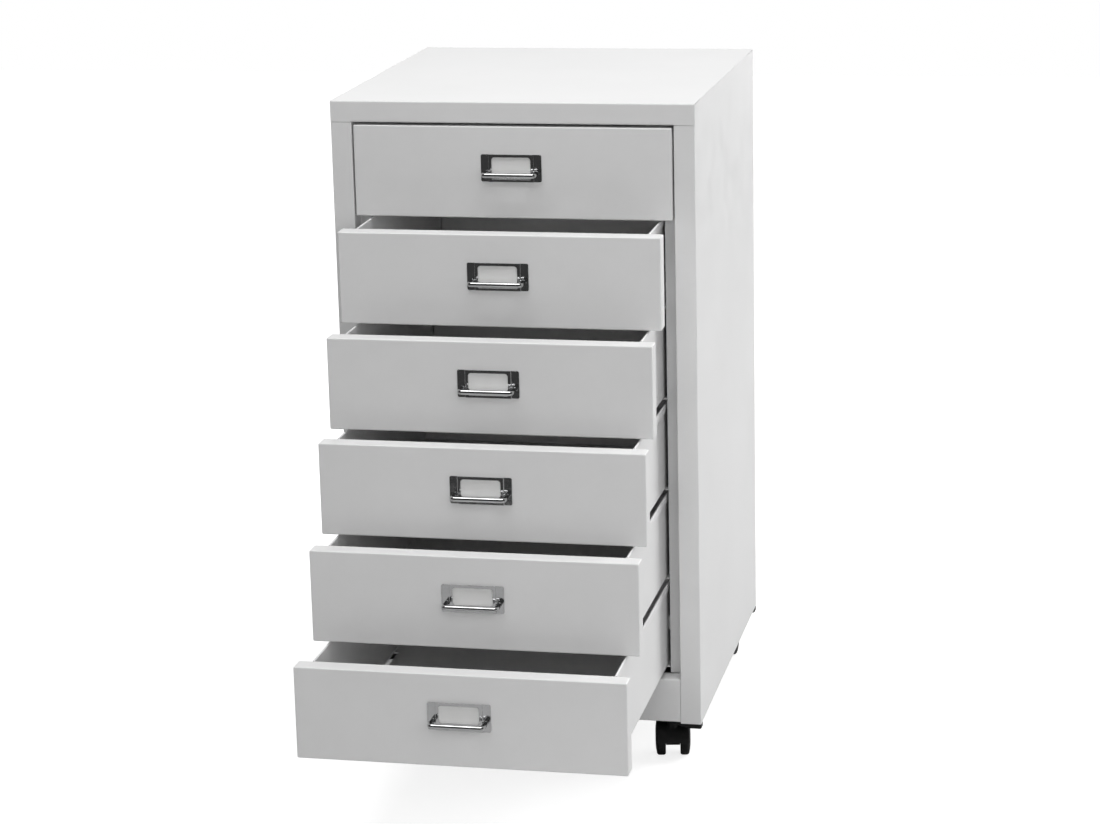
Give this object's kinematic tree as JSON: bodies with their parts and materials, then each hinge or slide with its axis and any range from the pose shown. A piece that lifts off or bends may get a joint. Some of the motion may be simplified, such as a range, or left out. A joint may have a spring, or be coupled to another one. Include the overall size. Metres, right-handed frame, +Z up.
{
  "type": "mobile pedestal",
  "caption": "Powder-coated steel mobile drawer pedestal with shallow inset drawers, chrome label holders with wire pulls, and black twin-wheel castors.",
  "frame": {"origin": "on the floor, under the middle of the pedestal's box with its drawers pulled out as stored", "axes": "+Z up, +X to the right seen from the front, -Y the way the drawers open"},
  "size_m": [0.36, 0.6748, 0.6774],
  "materials": {
    "powder_coat": "smooth light grey powder coat with a soft satin sheen",
    "chrome_plate": "bright chrome plate",
    "card_paper": null,
    "black_plastic": "black moulded plastic, satin",
    "axle_steel": "plain steel"
  },
  "bodies": {
    "cabinet": {"top_panel": "powder_coat", "bottom_panel": "powder_coat", "back_panel": "powder_coat", "left_side_panel": "powder_coat", "right_side_panel": "powder_coat", "left_runner_rack": "powder_coat", "right_runner_rack": "powder_coat", "front_right_castor_plate": "black_plastic", "rear_right_castor_plate": "black_plastic", "rear_left_castor_plate": "black_plastic", "front_left_castor_plate": "black_plastic"},
    "drawer_1": {"drawer_front_1": "powder_coat", "drawer_tray_1": "powder_coat", "label_holder_1": "chrome_plate", "label_card_1": "card_paper", "wire_pull_1": "chrome_plate"},
    "drawer_2": {"drawer_front_2": "powder_coat", "drawer_tray_2": "powder_coat", "label_holder_2": "chrome_plate", "label_card_2": "card_paper", "wire_pull_2": "chrome_plate"},
    "drawer_3": {"drawer_front_3": "powder_coat", "drawer_tray_3": "powder_coat", "label_holder_3": "chrome_plate", "label_card_3": "card_paper", "wire_pull_3": "chrome_plate"},
    "drawer_4": {"drawer_front_4": "powder_coat", "drawer_tray_4": "powder_coat", "label_holder_4": "chrome_plate", "label_card_4": "card_paper", "wire_pull_4": "chrome_plate"},
    "drawer_5": {"drawer_front_5": "powder_coat", "drawer_tray_5": "powder_coat", "label_holder_5": "chrome_plate", "label_card_5": "card_paper", "wire_pull_5": "chrome_plate"},
    "drawer_6": {"drawer_front_6": "powder_coat", "drawer_tray_6": "powder_coat", "label_holder_6": "chrome_plate", "label_card_6": "card_paper", "wire_pull_6": "chrome_plate"},
    "front_right_castor": {"front_right_castor_hood": "black_plastic", "front_right_castor_axle": "axle_steel"},
    "front_right_castor_wheel_left": {"front_right_castor_wheel_left": "black_plastic"},
    "front_right_castor_wheel_right": {"front_right_castor_wheel_right": "black_plastic"},
    "rear_right_castor": {"rear_right_castor_hood": "black_plastic", "rear_right_castor_axle": "axle_steel"},
    "rear_right_castor_wheel_left": {"rear_right_castor_wheel_left": "black_plastic"},
    "rear_right_castor_wheel_right": {"rear_right_castor_wheel_right": "black_plastic"},
    "rear_left_castor": {"rear_left_castor_hood": "black_plastic", "rear_left_castor_axle": "axle_steel"},
    "rear_left_castor_wheel_left": {"rear_left_castor_wheel_left": "black_plastic"},
    "rear_left_castor_wheel_right": {"rear_left_castor_wheel_right": "black_plastic"},
    "front_left_castor": {"front_left_castor_hood": "black_plastic", "front_left_castor_axle": "axle_steel"},
    "front_left_castor_wheel_left": {"front_left_castor_wheel_left": "black_plastic"},
    "front_left_castor_wheel_right": {"front_left_castor_wheel_right": "black_plastic"}
  },
  "joints": [
    {"name": "drawer_1_slide", "type": "slide", "parent": "cabinet", "child": "drawer_1", "axis": [0, -1, 0], "range_m": [0, 0.28]},
    {"name": "drawer_2_slide", "type": "slide", "parent": "cabinet", "child": "drawer_2", "axis": [0, -1, 0], "range_m": [-0.06899, 0.21101]},
    {"name": "drawer_3_slide", "type": "slide", "parent": "cabinet", "child": "drawer_3", "axis": [0, -1, 0], "range_m": [-0.12001, 0.15999]},
    {"name": "drawer_4_slide", "type": "slide", "parent": "cabinet", "child": "drawer_4", "axis": [0, -1, 0], "range_m": [-0.16201, 0.11799]},
    {"name": "drawer_5_slide", "type": "slide", "parent": "cabinet", "child": "drawer_5", "axis": [0, -1, 0], "range_m": [-0.206, 0.074]},
    {"name": "drawer_6_slide", "type": "slide", "parent": "cabinet", "child": "drawer_6", "axis": [0, -1, 0], "range_m": [-0.27199, 0.00801]},
    {"name": "front_right_castor_swivel", "type": "hinge", "parent": "cabinet", "child": "front_right_castor", "pos_m": [0.145, -0.01255, 0.046], "axis": [0, 0, 1], "continuous": true},
    {"name": "front_right_castor_wheel_left_roll", "type": "hinge", "parent": "front_right_castor", "child": "front_right_castor_wheel_left", "pos_m": [0.13563, -0.00202, 0.02], "axis": [0.9848, 0.1736, 0], "continuous": true},
    {"name": "front_right_castor_wheel_right_roll", "type": "hinge", "parent": "front_right_castor", "child": "front_right_castor_wheel_right", "pos_m": [0.1502, 0.00055, 0.02], "axis": [0.9848, 0.1736, 0], "continuous": true},
    {"name": "rear_right_castor_swivel", "type": "hinge", "parent": "cabinet", "child": "rear_right_castor", "pos_m": [0.145, 0.30245, 0.046], "axis": [0, 0, 1], "continuous": true},
    {"name": "rear_right_castor_wheel_left_roll", "type": "hinge", "parent": "rear_right_castor", "child": "rear_right_castor_wheel_left", "pos_m": [0.1376, 0.31445, 0.02], "axis": [1, 0, 0], "continuous": true},
    {"name": "rear_right_castor_wheel_right_roll", "type": "hinge", "parent": "rear_right_castor", "child": "rear_right_castor_wheel_right", "pos_m": [0.1524, 0.31445, 0.02], "axis": [1, 0, 0], "continuous": true},
    {"name": "rear_left_castor_swivel", "type": "hinge", "parent": "cabinet", "child": "rear_left_castor", "pos_m": [-0.145, 0.30245, 0.046], "axis": [0, 0, 1], "continuous": true},
    {"name": "rear_left_castor_wheel_left_roll", "type": "hinge", "parent": "rear_left_castor", "child": "rear_left_castor_wheel_left", "pos_m": [-0.1524, 0.31445, 0.02], "axis": [1, 0, 0], "continuous": true},
    {"name": "rear_left_castor_wheel_right_roll", "type": "hinge", "parent": "rear_left_castor", "child": "rear_left_castor_wheel_right", "pos_m": [-0.1376, 0.31445, 0.02], "axis": [1, 0, 0], "continuous": true},
    {"name": "front_left_castor_swivel", "type": "hinge", "parent": "cabinet", "child": "front_left_castor", "pos_m": [-0.145, -0.01255, 0.046], "axis": [0, 0, 1], "continuous": true},
    {"name": "front_left_castor_wheel_left_roll", "type": "hinge", "parent": "front_left_castor", "child": "front_left_castor_wheel_left", "pos_m": [-0.15437, -0.00202, 0.02], "axis": [0.9848, 0.1736, 0], "continuous": true},
    {"name": "front_left_castor_wheel_right_roll", "type": "hinge", "parent": "front_left_castor", "child": "front_left_castor_wheel_right", "pos_m": [-0.1398, 0.00055, 0.02], "axis": [0.9848, 0.1736, 0], "continuous": true}
  ]
}
